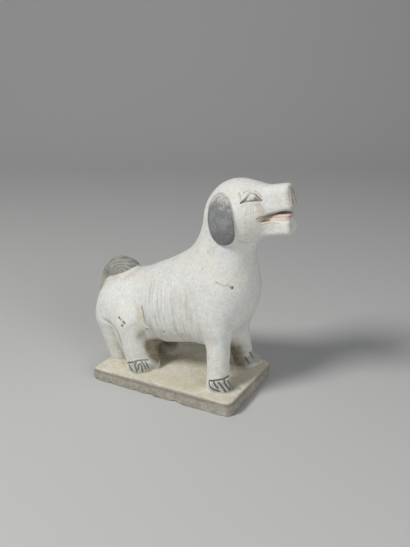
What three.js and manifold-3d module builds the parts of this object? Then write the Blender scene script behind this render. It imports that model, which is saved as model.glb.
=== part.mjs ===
// A hand-built earthenware dog standing on a slab: one fired piece.
// Millimetres, +Z up. +X is the way the dog looks, +Y its left side.
// The origin is the middle of the slab's underside.
import * as THREE from 'three';
import { mergeVertices } from 'three/addons/utils/BufferGeometryUtils.js';
import Module from 'manifold-3d';

// ---------------------------------------------------------------- slab
const SLAB_LENGTH = 195.0;
const SLAB_WIDTH = 126.6;
const SLAB_REAR_THICKNESS = 15.9;   // the clay was rolled by hand and gets thicker to the front
const SLAB_FRONT_THICKNESS = 18.6;
const SLAB_REAR_SKEW = 1.6;         // how far the ends are out of square at the near and far edges
const SLAB_FRONT_SKEW = 2.5;
const SLAB_EDGE_ROUND = 1.6;
const SLAB_CORNER = { nearRear: 5, nearFront: 10, farFront: 13, farRear: 9 };

// ---------------------------------------------------------------- body
// centres [x, y, z], half sizes [x, y, z], radii
const CHEST = { at: [55.1, 0, 130.0], half: [44.3, 43, 47.7] };
const BRISKET = { at: [36.0, 0, 97.0], half: [31, 38, 36.5] };
const BARREL = { from: [21.5, 0, 115.5], to: [-41, 0, 92.8], r0: 56.1, r1: 48.5, flat: 0.87 };
const RUMP = { at: [-72.9, 0, 96.0], half: [45.1, 40, 35.0] };
const BUTTOCK = { at: [-77.9, 22, 88.0], half: [35.6, 24, 29.3] };
const SHOULDER = { at: [61.5, 25, 108], half: [21, 22, 38] };
const NECK = { from: [52.4, 0, 154.5], to: [65.8, 0, 214.5], r0: 37.9, r1: 31.2 };

// ---------------------------------------------------------------- head
const SKULL = { at: [78.9, 0, 232.6], half: [39.8, 34, 36.3] };
const CHEEK = { at: [83.1, 0, 234.9], half: [27.1, 27, 22.9] };
const MUZZLE = { at: [118.0, 0, 250.3], half: [24.0, 11.5, 16.2], corner: 9.5, end: 8, pitch: 12.6 };
const JAW = { at: [115.6, 0, 218.9], half: [26.8, 12.0, 9.4], corner: 6.4, end: 4.8, pitch: 10.5 };
const PALATE = { at: [118.0, 0, 229.4], half: [21.5, 10.2, 5.2], corner: 5, end: 4.5, pitch: 9 };   // clay left in the mouth, under the tongue
const TONGUE = { at: [119.2, 0, 233.4], half: [21.4, 6.4, 2.6], corner: 2.4, end: 2.4, pitch: 6 };
const MOUTH_CORNER_X = 109.2;
const UPPER_LIP = { z: 231.5, slope: 0.355 };   // height at x = 107 and rise along x
const LOWER_LIP = { z: 226.4, slope: 0.143 };
// a flap lying on the head: middle and half sizes in x and z, an oval a little squarer than an ellipse
const EAR = { at: [70.3, 228.0], half: [17.4, 28.4], lean: 0.12, square: 2.35, thick: 4.2, edge: 2.6 };
const EYE = { at: [100.4, 19.8, 255.2], half: [5.2, 4.0, 3.8] };

// ---------------------------------------------------------------- legs
// the dog's right side is -Y; the forelegs were set by hand and differ a little
const FORE_TOP_Z = 92, FOOT_Z = 26, TOE_Z = 20, LEG_END_Z = 10;
const RIGHT_FORE = { top: [66.0, -29], foot: [67.4, -33], r0: 14.8, r1: 13.0,
  paw: [71.0, -34], half: [14.8, 13.2, 10], turn: -30, soften: 5 };
const LEFT_FORE = { top: [54.2, 28], foot: [65.2, 38], r0: 17, r1: 12.6,
  paw: [68.5, 45], half: [17.0, 12.3, 9.8], turn: 38, soften: 7 };
const THIGH = { top: [-60, 30, 80], foot: [-46.5, 34, 26], r0: 25, r1: 14.0 };
const INNER_THIGH = { top: [-46, 22, 70], foot: [-36, 25, 24], r0: 16, r1: 12 };
const HIND_PAW = { at: [-43.5, 37, 20], half: [15.5, 14.5, 9], turn: 45 };
const HOCK = { from: [-91.3, 19.1, 71], to: [-84.2, 20, 18], r0: 24.2, r1: 12 };

// ---------------------------------------------------------------- tail
const TAIL_CURL = { at: [-88.8, 0, 129.4], half: [23.7, 17, 18.3], pitch: -9.4 };
const TAIL_TIP = { at: [-80.0, 0, 131.6], half: [11.4, 15.0, 12.0] };
const TAIL_ROOT = { from: [-112.4, 0, 126.3], to: [-121.4, 0, 97.8], r: 7.1 };

// ---------------------------------------------------------------- faceting
const CELL = 3.2;                   // cell of the lattice that the surface is found in
const FACET_TARGET = 7000;          // facets that the dog is brought down to
const BOX_MIN = [-134, -66, 4], BOX_MAX = [152, 66, 280];

// ================================================================ signed distances
const rad = THREE.MathUtils.degToRad;
const hyp = Math.hypot;
const blend = (a, b, k) => {        // union with a fillet of about k
  const h = Math.max(k - Math.abs(a - b), 0) / k;
  return Math.min(a, b) - h * h * k * 0.25;
};
const carve = (a, b, k) => -blend(-a, b, k);   // a without b
const both = (a, b, k) => -blend(-a, -b, k);

function local(p, at, pitch = 0, turn = 0) {
  let x = p[0] - at[0], y = p[1] - at[1], z = p[2] - at[2];
  if (turn) { const c = Math.cos(rad(turn)), s = Math.sin(rad(turn)); [x, y] = [x * c + y * s, -x * s + y * c]; }
  if (pitch) { const c = Math.cos(rad(pitch)), s = Math.sin(rad(pitch)); [x, z] = [x * c + z * s, -x * s + z * c]; }
  return [x, y, z];
}
function egg(p, at, half, pitch = 0, turn = 0) {
  const [x, y, z] = local(p, at, pitch, turn);
  const a = hyp(x / half[0], y / half[1], z / half[2]);
  const b = hyp(x / half[0] ** 2, y / half[1] ** 2, z / half[2] ** 2);
  return a * (a - 1) / Math.max(b, 1e-6);
}
function taper(p, a, b, r1, r2, flat = 1) {    // cone with ball ends; flat < 1 narrows it along y
  const ax = a[0], ay = a[1] / flat, az = a[2];
  const bx = b[0] - ax, by = b[1] / flat - ay, bz = b[2] - az;
  const l2 = bx * bx + by * by + bz * bz, rr = r1 - r2, a2 = l2 - rr * rr, il2 = 1 / l2;
  const px = p[0] - ax, py = p[1] / flat - ay, pz = p[2] - az;
  const y = px * bx + py * by + pz * bz, z = y - l2;
  const vx = px * l2 - bx * y, vy = py * l2 - by * y, vz = pz * l2 - bz * y;
  const x2 = vx * vx + vy * vy + vz * vz, y2 = y * y * l2, z2 = z * z * l2;
  const k = Math.sign(rr) * rr * rr * x2;
  let d;
  if (Math.sign(z) * a2 * z2 > k) d = Math.sqrt(x2 + z2) * il2 - r2;
  else if (Math.sign(y) * a2 * y2 < k) d = Math.sqrt(x2 + y2) * il2 - r1;
  else d = (Math.sqrt(x2 * a2 * il2) + y * rr) * il2 - r1;
  return d * Math.min(1, flat);
}
function bar(p, s) {                // bar of rounded section with rounded ends
  const [lx, ly, lz] = local(p, s.at, s.pitch);
  const y = Math.abs(ly) - (s.half[1] - s.corner), z = Math.abs(lz) - (s.half[2] - s.corner);
  const section = hyp(Math.max(y, 0), Math.max(z, 0)) + Math.min(Math.max(y, z), 0) - s.corner;
  const a = section + s.end, b = Math.abs(lx) - s.half[0] + s.end;
  return Math.min(Math.max(a, b), 0) + hyp(Math.max(a, 0), Math.max(b, 0)) - s.end;
}
function post(p, top, topZ, foot, footZ, r0, r1) {
  const knee = [foot[0], foot[1], footZ];
  return blend(taper(p, [top[0], top[1], topZ], knee, r0, r1),
    taper(p, knee, [foot[0], foot[1], LEG_END_Z], r1, r1 - 0.01), 4);
}

// ================================================================ the dog
function torso(p, m) {
  let t = egg(p, CHEST.at, CHEST.half);
  t = blend(t, taper(p, BARREL.from, BARREL.to, BARREL.r0, BARREL.r1, BARREL.flat), 14);
  t = blend(t, egg(p, BRISKET.at, BRISKET.half), 10);
  t = blend(t, egg(p, RUMP.at, RUMP.half), 16);
  t = blend(t, egg(m, BUTTOCK.at, BUTTOCK.half), 10);
  t = blend(t, egg(m, SHOULDER.at, SHOULDER.half), 14);
  return blend(t, taper(p, NECK.from, NECK.to, NECK.r0, NECK.r1), 26);
}
function gape(p) {
  const up = (p[2] - UPPER_LIP.z - UPPER_LIP.slope * (p[0] - 107)) / hyp(1, UPPER_LIP.slope);
  const low = (LOWER_LIP.z + LOWER_LIP.slope * (p[0] - 107) - p[2]) / hyp(1, LOWER_LIP.slope);
  return both(both(up, low, 2.5), MOUTH_CORNER_X - p[0], 4);
}
function head(p, m) {
  let h = egg(p, SKULL.at, SKULL.half);
  h = blend(h, egg(p, CHEEK.at, CHEEK.half), 12);
  h = blend(h, bar(p, MUZZLE), 14);
  h = blend(h, bar(p, JAW), 11);
  h = blend(h, egg(m, EYE.at, EYE.half), 2);
  return carve(h, gape(p), 2);
}
function foreleg(p, leg) {
  return blend(post(p, leg.top, FORE_TOP_Z, leg.foot, FOOT_Z, leg.r0, leg.r1),
    egg(p, [...leg.paw, TOE_Z], leg.half, 0, leg.turn), leg.soften);
}
function hindleg(m) {
  let l = post(m, THIGH.top, THIGH.top[2], THIGH.foot, THIGH.foot[2], THIGH.r0, THIGH.r1);
  l = blend(l, post(m, INNER_THIGH.top, INNER_THIGH.top[2], INNER_THIGH.foot, INNER_THIGH.foot[2],
    INNER_THIGH.r0, INNER_THIGH.r1), 6);
  l = blend(l, egg(m, HIND_PAW.at, HIND_PAW.half, 0, HIND_PAW.turn), 5);
  return blend(l, taper(m, HOCK.from, HOCK.to, HOCK.r0, HOCK.r1), 6);
}
function tail(p) {
  const curl = blend(egg(p, TAIL_CURL.at, TAIL_CURL.half, TAIL_CURL.pitch), egg(p, TAIL_TIP.at, TAIL_TIP.half), 5);
  return blend(curl, taper(p, TAIL_ROOT.from, TAIL_ROOT.to, TAIL_ROOT.r, TAIL_ROOT.r - 0.01), 6);
}
function ears(p, skin) {            // the oval cut out of a skin of even thickness over the head
  const n = EAR.square;
  const x = Math.abs(p[0] - EAR.at[0] + EAR.lean * (p[2] - EAR.at[1])) / EAR.half[0] + 1e-6;
  const z = Math.abs(p[2] - EAR.at[1]) / EAR.half[1] + 1e-6;
  const a = (x ** n + z ** n) ** (1 / n);
  const slope = a ** (1 - n) * hyp(x ** (n - 1) / EAR.half[0], z ** (n - 1) / EAR.half[1]);
  return both(skin - EAR.thick, (a - 1) / Math.max(slope, 1e-3), EAR.edge);
}
function dog(x, y, z) {
  const p = [x, y, z], m = [x, Math.abs(y), z];
  let d = blend(torso(p, m), head(p, m), 16);
  d = blend(d, bar(p, PALATE), 1);
  d = blend(d, bar(p, TONGUE), 0.8);
  d = blend(d, ears(p, d), 1);
  d = blend(d, foreleg(p, RIGHT_FORE), 8);
  d = blend(d, foreleg(p, LEFT_FORE), 10);
  d = blend(d, hindleg(m), 10);
  return Math.max(blend(d, tail(p), 2.5), LEG_END_Z - z);   // the legs end inside the slab
}

// ================================================================ surface from the distances
// Every lattice cube is split into six tetrahedra, so the surface always closes.
function facet(distance, lo, hi, cell) {
  const n = [0, 1, 2].map(i => Math.ceil((hi[i] - lo[i]) / cell) + 1);
  const at = (i, j, k) => (k * n[1] + j) * n[0] + i;
  const value = new Float64Array(n[0] * n[1] * n[2]);
  for (let k = 0; k < n[2]; k++) for (let j = 0; j < n[1]; j++) for (let i = 0; i < n[0]; i++) {
    let v = distance(lo[0] + i * cell, lo[1] + j * cell, lo[2] + k * cell);
    if (Math.abs(v) < 1e-3) v = v < 0 ? -1e-3 : 1e-3;
    value[at(i, j, k)] = v;
  }
  const points = [], triangles = [], made = new Map();
  const where = q => [lo[0] + (q % n[0]) * cell, lo[1] + (Math.floor(q / n[0]) % n[1]) * cell,
    lo[2] + Math.floor(q / (n[0] * n[1])) * cell];
  const cross = (a, b) => {
    if (a > b) [a, b] = [b, a];
    const key = a * value.length + b;
    let id = made.get(key);
    if (id === undefined) {
      const t = Math.min(Math.max(value[a] / (value[a] - value[b]), 0.04), 0.96);
      const A = where(a), B = where(b);
      id = points.length;
      points.push([A[0] + (B[0] - A[0]) * t, A[1] + (B[1] - A[1]) * t, A[2] + (B[2] - A[2]) * t]);
      made.set(key, id);
    }
    return id;
  };
  const put = (a, b, c, inside) => {          // wound so that the normal points away from `inside`
    const A = points[a], B = points[b], C = points[c];
    const u = [B[0] - A[0], B[1] - A[1], B[2] - A[2]], v = [C[0] - A[0], C[1] - A[1], C[2] - A[2]];
    const w = where(inside);
    const nx = u[1] * v[2] - u[2] * v[1], ny = u[2] * v[0] - u[0] * v[2], nz = u[0] * v[1] - u[1] * v[0];
    if (nx * (A[0] - w[0]) + ny * (A[1] - w[1]) + nz * (A[2] - w[2]) > 0) triangles.push([a, b, c]);
    else triangles.push([a, c, b]);
  };
  const tets = [[0, 1, 3, 7], [0, 3, 2, 7], [0, 2, 6, 7], [0, 6, 4, 7], [0, 4, 5, 7], [0, 5, 1, 7]];
  for (let k = 0; k < n[2] - 1; k++) for (let j = 0; j < n[1] - 1; j++) for (let i = 0; i < n[0] - 1; i++) {
    const c = [0, 1, 2, 3, 4, 5, 6, 7].map(b => at(i + (b & 1), j + ((b >> 1) & 1), k + (b >> 2)));
    let inside = 0;
    for (const q of c) if (value[q] < 0) inside++;
    if (inside === 0 || inside === 8) continue;
    for (const t of tets) {
      const s = t.map(b => c[b]), minus = s.filter(q => value[q] < 0), plus = s.filter(q => value[q] >= 0);
      if (minus.length === 1) put(cross(minus[0], plus[0]), cross(minus[0], plus[1]), cross(minus[0], plus[2]), minus[0]);
      else if (minus.length === 3) {
        const a = cross(plus[0], minus[0]), b = cross(plus[0], minus[1]), d = cross(plus[0], minus[2]);
        put(a, b, d, minus[0]);
      } else if (minus.length === 2) {
        const a = cross(minus[0], plus[0]), b = cross(minus[0], plus[1]);
        const d = cross(minus[1], plus[0]), e = cross(minus[1], plus[1]);
        put(a, b, d, minus[0]); put(b, e, d, minus[1]);
      }
    }
  }
  return { points, triangles };
}

// ================================================================ fewer facets, same shape
// Edges are folded away in the order of how little the surface moves (squared distance to
// the planes around them), never where it would pinch or turn a facet over.
function thin({ points, triangles }, target, distance) {
  const P = points.map(p => p.slice()), T = triangles.map(t => t.slice());
  const around = P.map(() => new Set());
  T.forEach((t, f) => t.forEach(v => around[v].add(f)));
  const away = ([x, y, z]) => {              // the way out of the clay at a point
    const e = 0.4, g = [distance(x + e, y, z) - distance(x - e, y, z), distance(x, y + e, z) - distance(x, y - e, z),
      distance(x, y, z + e) - distance(x, y, z - e)], l = hyp(...g) || 1;
    return g.map(c => c / l);
  };
  const out3 = P.map(away);
  const Q = P.map(() => new Float64Array(10));
  const plane = (A, B, C) => {
    const u = [B[0] - A[0], B[1] - A[1], B[2] - A[2]], v = [C[0] - A[0], C[1] - A[1], C[2] - A[2]];
    return [u[1] * v[2] - u[2] * v[1], u[2] * v[0] - u[0] * v[2], u[0] * v[1] - u[1] * v[0]];
  };
  for (const t of T) {
    const N = plane(P[t[0]], P[t[1]], P[t[2]]), l = hyp(...N);
    if (l < 1e-12) continue;
    const [a, b, c] = N.map(x => x / l), d = -(a * P[t[0]][0] + b * P[t[0]][1] + c * P[t[0]][2]), w = l;
    const q = [a * a, a * b, a * c, a * d, b * b, b * c, b * d, c * c, c * d, d * d];
    for (const v of t) for (let i = 0; i < 10; i++) Q[v][i] += q[i] * w;
  }
  const cost = (q, x, y, z) => q[0] * x * x + 2 * q[1] * x * y + 2 * q[2] * x * z + 2 * q[3] * x
    + q[4] * y * y + 2 * q[5] * y * z + 2 * q[6] * y + q[7] * z * z + 2 * q[8] * z + q[9];
  const best = (u, v) => {
    const q = new Float64Array(10);
    for (let i = 0; i < 10; i++) q[i] = Q[u][i] + Q[v][i];
    const M = new THREE.Matrix3().set(q[0], q[1], q[2], q[1], q[4], q[5], q[2], q[5], q[7]);
    const A = P[u], B = P[v], mid = [(A[0] + B[0]) / 2, (A[1] + B[1]) / 2, (A[2] + B[2]) / 2];
    const tries = [mid, A, B], size = hyp(A[0] - B[0], A[1] - B[1], A[2] - B[2]);
    const scale = q[0] + q[4] + q[7];
    if (Math.abs(M.determinant()) > 1e-5 * scale ** 3) {
      const s = new THREE.Vector3(-q[3], -q[6], -q[8]).applyMatrix3(M.invert());
      if (hyp(s.x - mid[0], s.y - mid[1], s.z - mid[2]) < 1.5 * size) tries.unshift([s.x, s.y, s.z]);
    }
    let c = Infinity, at = mid;
    for (const t of tries) { const e = Math.max(cost(q, ...t), 0); if (e < c - 1e-12) { c = e; at = t; } }
    return [c + 1e-4 * size * size, at];
  };
  const heap = [];                           // binary heap of [cost, u, v, stampU, stampV, point]
  const stamp = new Int32Array(P.length);
  const push = e => {
    let i = heap.push(e) - 1;
    while (i > 0) { const p = (i - 1) >> 1; if (heap[p][0] <= e[0]) break; heap[i] = heap[p]; i = p; }
    heap[i] = e;
  };
  const pop = () => {
    const top = heap[0], e = heap.pop();
    if (heap.length) {
      let i = 0;
      for (;;) {
        let c = 2 * i + 1;
        if (c >= heap.length) break;
        if (c + 1 < heap.length && heap[c + 1][0] < heap[c][0]) c++;
        if (heap[c][0] >= e[0]) break;
        heap[i] = heap[c]; i = c;
      }
      heap[i] = e;
    }
    return top;
  };
  const offer = (u, v) => { const [c, at] = best(u, v); push([c, u, v, stamp[u], stamp[v], at]); };
  const offerAll = () => {
    const seen = new Set();
    for (const t of T) if (t) for (let i = 0; i < 3; i++) {
      const u = Math.min(t[i], t[(i + 1) % 3]), v = Math.max(t[i], t[(i + 1) % 3]), key = u * P.length + v;
      if (!seen.has(key)) { seen.add(key); offer(u, v); }
    }
  };
  const ring = u => { const s = new Set(); for (const f of around[u]) for (const w of T[f]) if (w !== u) s.add(w); return s; };
  let left = T.length;
  for (const [turn, plump] of [[0.3, 0.0], [0.1, 0.0]]) {
  if (left > target) { heap.length = 0; offerAll(); }
  while (left > target && heap.length) {
    const [, u, v, su, sv, at] = pop();
    if (stamp[u] !== su || stamp[v] !== sv) continue;
    const ru = ring(u), rv = ring(v);
    let shared = 0;
    for (const w of ru) if (rv.has(w)) shared++;
    if (shared !== 2 || ru.size + rv.size - 4 < 4) continue;
    let good = true;
    const outAt = away(at);
    for (const [w, other] of [[u, v], [v, u]]) for (const f of around[w]) {
      if (!good || T[f].includes(other)) continue;
      const tri = T[f].map(i => (i === w ? at : P[i])), now = plane(...tri), ln = hyp(...now);
      const n = [0, 1, 2].map(c => T[f].reduce((t, i) => t + (i === w ? outAt[c] : out3[i][c]), 0));
      if (n[0] * now[0] + n[1] * now[1] + n[2] * now[2] < turn * ln * hyp(...n)) { good = false; break; }
      const fat = (t, n) => n / Math.max(...[0, 1, 2].map(i => {
        const a = t[i], b = t[(i + 1) % 3];
        return (a[0] - b[0]) ** 2 + (a[1] - b[1]) ** 2 + (a[2] - b[2]) ** 2;
      }));
      const had = T[f].map(i => P[i]), was = fat(had, hyp(...plane(...had))), is = fat(tri, ln);
      if (is < plump && is < was) { good = false; break; }
    }
    if (!good) continue;
    for (const f of [...around[v]]) {
      if (T[f].includes(u)) { for (const w of T[f]) around[w].delete(f); T[f] = null; left--; }
      else { T[f] = T[f].map(i => (i === v ? u : i)); around[u].add(f); }
    }
    around[v] = new Set();
    P[u] = at.slice(); out3[u] = outAt;
    for (let i = 0; i < 10; i++) Q[u][i] += Q[v][i];
    stamp[u]++; stamp[v]++;
    for (const w of ring(u)) offer(Math.min(u, w), Math.max(u, w));
  }
  }
  const keep = T.filter(Boolean), id = new Map(), out = [];
  for (const t of keep) for (let i = 0; i < 3; i++) {
    if (!id.has(t[i])) { id.set(t[i], out.length); out.push(P[t[i]]); }
    t[i] = id.get(t[i]);
  }
  return { points: out, triangles: keep };
}

// ================================================================ slab
function slabGeometry() {
  const e = SLAB_EDGE_ROUND, w = SLAB_WIDTH / 2 - e, l = SLAB_LENGTH / 2 - e;
  const corners = [                          // near is -Y, far is +Y
    [-l - SLAB_REAR_SKEW, -w, SLAB_CORNER.nearRear], [l + SLAB_FRONT_SKEW, -w, SLAB_CORNER.nearFront],
    [l - SLAB_FRONT_SKEW, w, SLAB_CORNER.farFront], [-l + SLAB_REAR_SKEW, w, SLAB_CORNER.farRear]];
  const shape = new THREE.Shape();
  corners.forEach(([x, y, r], i) => {
    const before = corners[(i + 3) % 4], after = corners[(i + 1) % 4];
    const toward = (a, b) => new THREE.Vector2(b[0] - a[0], b[1] - a[1]).normalize().multiplyScalar(r * 1.15);
    const a = toward([x, y], before), b = toward([x, y], after);
    if (i === 0) shape.moveTo(x + a.x, y + a.y); else shape.lineTo(x + a.x, y + a.y);
    shape.quadraticCurveTo(x, y, x + b.x, y + b.y);
  });
  shape.closePath();
  const depth = SLAB_FRONT_THICKNESS;
  const g = new THREE.ExtrudeGeometry(shape, { depth: depth - 2 * e, bevelEnabled: true, bevelThickness: e,
    bevelSize: e, bevelSegments: 2, curveSegments: 7, steps: 1 });
  g.translate(0, 0, e);
  const p = g.attributes.position;
  for (let i = 0; i < p.count; i++) {        // the top slopes down to the rear
    const top = SLAB_REAR_THICKNESS + (SLAB_FRONT_THICKNESS - SLAB_REAR_THICKNESS) * (p.getX(i) / SLAB_LENGTH + 0.5);
    p.setZ(i, p.getZ(i) * top / depth);
  }
  return g;
}

// ================================================================ joining
const wasm = await Module();
wasm.setup();
function solidFrom(geometry) {
  const g = geometry.clone();
  g.deleteAttribute('normal'); g.deleteAttribute('uv');
  const m = mergeVertices(g, 1e-4);
  return new wasm.Manifold(new wasm.Mesh({ numProp: 3, vertProperties: new Float32Array(m.attributes.position.array),
    triVerts: new Uint32Array(m.index.array) }));
}
function geometryFromLists({ points, triangles }) {
  const g = new THREE.BufferGeometry();
  g.setAttribute('position', new THREE.Float32BufferAttribute(points.flat(), 3));
  g.setIndex(triangles.flat());
  return g;
}
function geometryFrom(solid) {
  const m = solid.getMesh(), g = new THREE.BufferGeometry();
  const pos = new Float32Array(m.numVert * 3);
  for (let i = 0; i < m.numVert; i++) for (let c = 0; c < 3; c++) pos[3 * i + c] = m.vertProperties[i * m.numProp + c];
  g.setAttribute('position', new THREE.BufferAttribute(pos, 3));
  g.setIndex(new THREE.BufferAttribute(new Uint32Array(m.triVerts), 1));
  g.computeVertexNormals();
  return g;
}

const body = solidFrom(geometryFromLists(thin(facet(dog, BOX_MIN, BOX_MAX, CELL), FACET_TARGET, dog)));
const figure = body.add(solidFrom(slabGeometry()));

const mesh = new THREE.Mesh(geometryFrom(figure),
  new THREE.MeshStandardMaterial({ color: 0xd6d2c4, roughness: 0.9, metalness: 0.0 }));
mesh.name = 'dog_figure';

const group = new THREE.Group();
group.add(mesh);
export default group;
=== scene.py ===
"""A hand-built earthenware dog standing on a slab, coated with white slip, its ears and tail painted grey.

The figure is one fired piece.  Its shape is a distance field made from named sizes (millimetres, the CAD's own
frame: +X is the way the dog looks, +Y its left side, the origin the middle of the slab's underside).  The CAD part
carries the large form; here the same form gets its finer relief: lids, lips, nostrils, toes, the coil of the tail,
brush combing, pits, cracks and the chipped edge of the slab.  The surface is found in a lattice, drawn onto the exact
field, and thinned.
"""
import math
import bpy
import numpy as np
from mathutils import Matrix, Vector


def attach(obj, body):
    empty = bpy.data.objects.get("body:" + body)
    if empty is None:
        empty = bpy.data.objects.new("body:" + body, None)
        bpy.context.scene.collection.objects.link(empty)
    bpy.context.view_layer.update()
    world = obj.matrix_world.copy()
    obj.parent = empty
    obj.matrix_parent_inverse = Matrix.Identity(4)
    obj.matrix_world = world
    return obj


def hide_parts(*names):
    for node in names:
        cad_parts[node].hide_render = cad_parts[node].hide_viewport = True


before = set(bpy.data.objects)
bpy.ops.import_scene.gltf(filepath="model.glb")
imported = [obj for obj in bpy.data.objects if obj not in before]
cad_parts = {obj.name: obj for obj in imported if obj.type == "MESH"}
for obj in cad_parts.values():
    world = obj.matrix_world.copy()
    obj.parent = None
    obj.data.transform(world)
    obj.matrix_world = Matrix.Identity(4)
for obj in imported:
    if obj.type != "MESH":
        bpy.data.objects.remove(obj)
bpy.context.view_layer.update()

# ================================================================================================ sizes, mm, degrees
SLAB_LENGTH, SLAB_WIDTH = 195.0, 126.6
SLAB_REAR_THICKNESS, SLAB_FRONT_THICKNESS = 15.9, 18.6
SLAB_REAR_SKEW, SLAB_FRONT_SKEW = 1.6, 2.5
SLAB_EDGE_ROUND = 1.6
SLAB_CORNER = dict(near_rear=5, near_front=10, far_front=13, far_rear=9)

CHEST = dict(at=(55.1, 0, 130.0), half=(44.3, 43, 47.7))
BRISKET = dict(at=(36.0, 0, 97.0), half=(31, 38, 36.5))
BARREL = dict(a=(21.5, 0, 115.5), b=(-41, 0, 92.8), r1=56.1, r2=48.5, flat=0.87)
RUMP = dict(at=(-72.9, 0, 96.0), half=(45.1, 40, 35.0))
BUTTOCK = dict(at=(-77.9, 22, 88.0), half=(35.6, 24, 29.3))
SHOULDER = dict(at=(61.5, 25, 108), half=(21, 22, 38))
NECK = dict(a=(52.4, 0, 154.5), b=(65.8, 0, 214.5), r1=37.9, r2=31.2)

SKULL = dict(at=(78.9, 0, 232.6), half=(39.8, 34, 36.3))
CHEEK = dict(at=(83.1, 0, 234.9), half=(27.1, 27, 22.9))
MUZZLE = dict(at=(118.0, 0, 250.3), half=(24.0, 11.5, 16.2), corner=9.5, end=8.0, pitch=12.6)
JAW = dict(at=(115.6, 0, 218.9), half=(26.8, 12.0, 9.4), corner=6.4, end=4.8, pitch=10.5)
PALATE = dict(at=(118.0, 0, 229.4), half=(21.5, 10.2, 5.2), corner=5.0, end=4.5, pitch=9)      # the clay left in the mouth, under the tongue
TONGUE = dict(at=(119.2, 0, 233.4), half=(21.4, 6.4, 2.6), corner=2.4, end=2.4, pitch=6)
MOUTH_CORNER_X = 109.2
UPPER_LIP = (231.5, 0.355)
LOWER_LIP = (226.4, 0.143)
EAR = dict(at=(70.3, 228.0), half=(17.4, 28.4), lean=0.12, square=2.35, thick=4.2, edge=2.6)
EYE = dict(at=(100.4, 19.8, 255.2), half=(5.2, 4.0, 3.8))

FORE_TOP_Z, FOOT_Z, TOE_Z, LEG_END_Z = 92, 26, 20, 10
RIGHT_FORE = dict(top=(66.0, -29), foot=(67.4, -33), r0=14.8, r1=13.0, paw=(71.0, -34), half=(14.8, 13.2, 10), turn=-30, soften=5)
LEFT_FORE = dict(top=(54.2, 28), foot=(65.2, 38), r0=17, r1=12.6, paw=(68.5, 45), half=(17.0, 12.3, 9.8), turn=38, soften=7)
THIGH = dict(top=(-60, 30, 80), foot=(-46.5, 34, 26), r0=25, r1=14.0)
INNER_THIGH = dict(top=(-46, 22, 70), foot=(-36, 25, 24), r0=16, r1=12)
HIND_PAW = dict(at=(-43.5, 37, 20), half=(15.5, 14.5, 9), turn=45)
HOCK = dict(a=(-91.3, 19.1, 71), b=(-84.2, 20, 18), r1=24.2, r2=12)

TAIL_CURL = dict(at=(-88.8, 0, 129.4), half=(23.7, 17, 18.3), pitch=-9.4)
TAIL_TIP = dict(at=(-80.0, 0, 131.6), half=(11.4, 15.0, 12.0), pitch=0)
TAIL_ROOT = dict(a=(-112.4, 0, 126.3), b=(-121.4, 0, 97.8), r=7.1)

# ================================================================================================ distances
def smin(a, b, k):
    h = np.maximum(k - np.abs(a - b), 0) / k
    return np.minimum(a, b) - h * h * k * 0.25
def smax(a, b, k):
    return -smin(-a, -b, k)
def local(P, at, pitch=0.0, turn=0.0):
    x, y, z = P[0] - at[0], P[1] - at[1], P[2] - at[2]
    if turn:
        c, s = math.cos(math.radians(turn)), math.sin(math.radians(turn)); x, y = x * c + y * s, -x * s + y * c
    if pitch:
        c, s = math.cos(math.radians(pitch)), math.sin(math.radians(pitch)); x, z = x * c + z * s, -x * s + z * c
    return x, y, z
def egg(P, at, half, pitch=0.0, turn=0.0):
    x, y, z = local(P, at, pitch, turn)
    a = np.sqrt((x / half[0]) ** 2 + (y / half[1]) ** 2 + (z / half[2]) ** 2)
    b = np.sqrt((x / half[0] ** 2) ** 2 + (y / half[1] ** 2) ** 2 + (z / half[2] ** 2) ** 2)
    return a * (a - 1) / np.maximum(b, 1e-6)
def taper(P, a, b, r1, r2, flat=1.0):
    ax, ay, az = a[0], a[1] / flat, a[2]
    bx, by, bz = b[0] - ax, b[1] / flat - ay, b[2] - az
    l2 = bx * bx + by * by + bz * bz; rr = r1 - r2; a2 = l2 - rr * rr; il2 = 1 / l2
    px, py, pz = P[0] - ax, P[1] / flat - ay, P[2] - az
    y = px * bx + py * by + pz * bz; z = y - l2
    x2 = (px * l2 - bx * y) ** 2 + (py * l2 - by * y) ** 2 + (pz * l2 - bz * y) ** 2
    y2, z2 = y * y * l2, z * z * l2
    k = np.sign(rr) * rr * rr * x2
    d = (np.sqrt(x2 * a2 * il2) + y * rr) * il2 - r1
    d = np.where(np.sign(y) * a2 * y2 < k, np.sqrt(x2 + y2) * il2 - r1, d)
    d = np.where(np.sign(z) * a2 * z2 > k, np.sqrt(x2 + z2) * il2 - r2, d)
    return d * min(1, flat)
def bar(P, at, half, corner, end, pitch):
    lx, ly, lz = local(P, at, pitch)
    y, z = np.abs(ly) - (half[1] - corner), np.abs(lz) - (half[2] - corner)
    section = np.hypot(np.maximum(y, 0), np.maximum(z, 0)) + np.minimum(np.maximum(y, z), 0) - corner
    a, b = section + end, np.abs(lx) - half[0] + end
    return np.minimum(np.maximum(a, b), 0) + np.hypot(np.maximum(a, 0), np.maximum(b, 0)) - end
def post(P, top, foot, r0, r1):
    return smin(taper(P, top, foot, r0, r1), taper(P, foot, (foot[0], foot[1], LEG_END_Z), r1, r1 - 0.01), 4)

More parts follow.
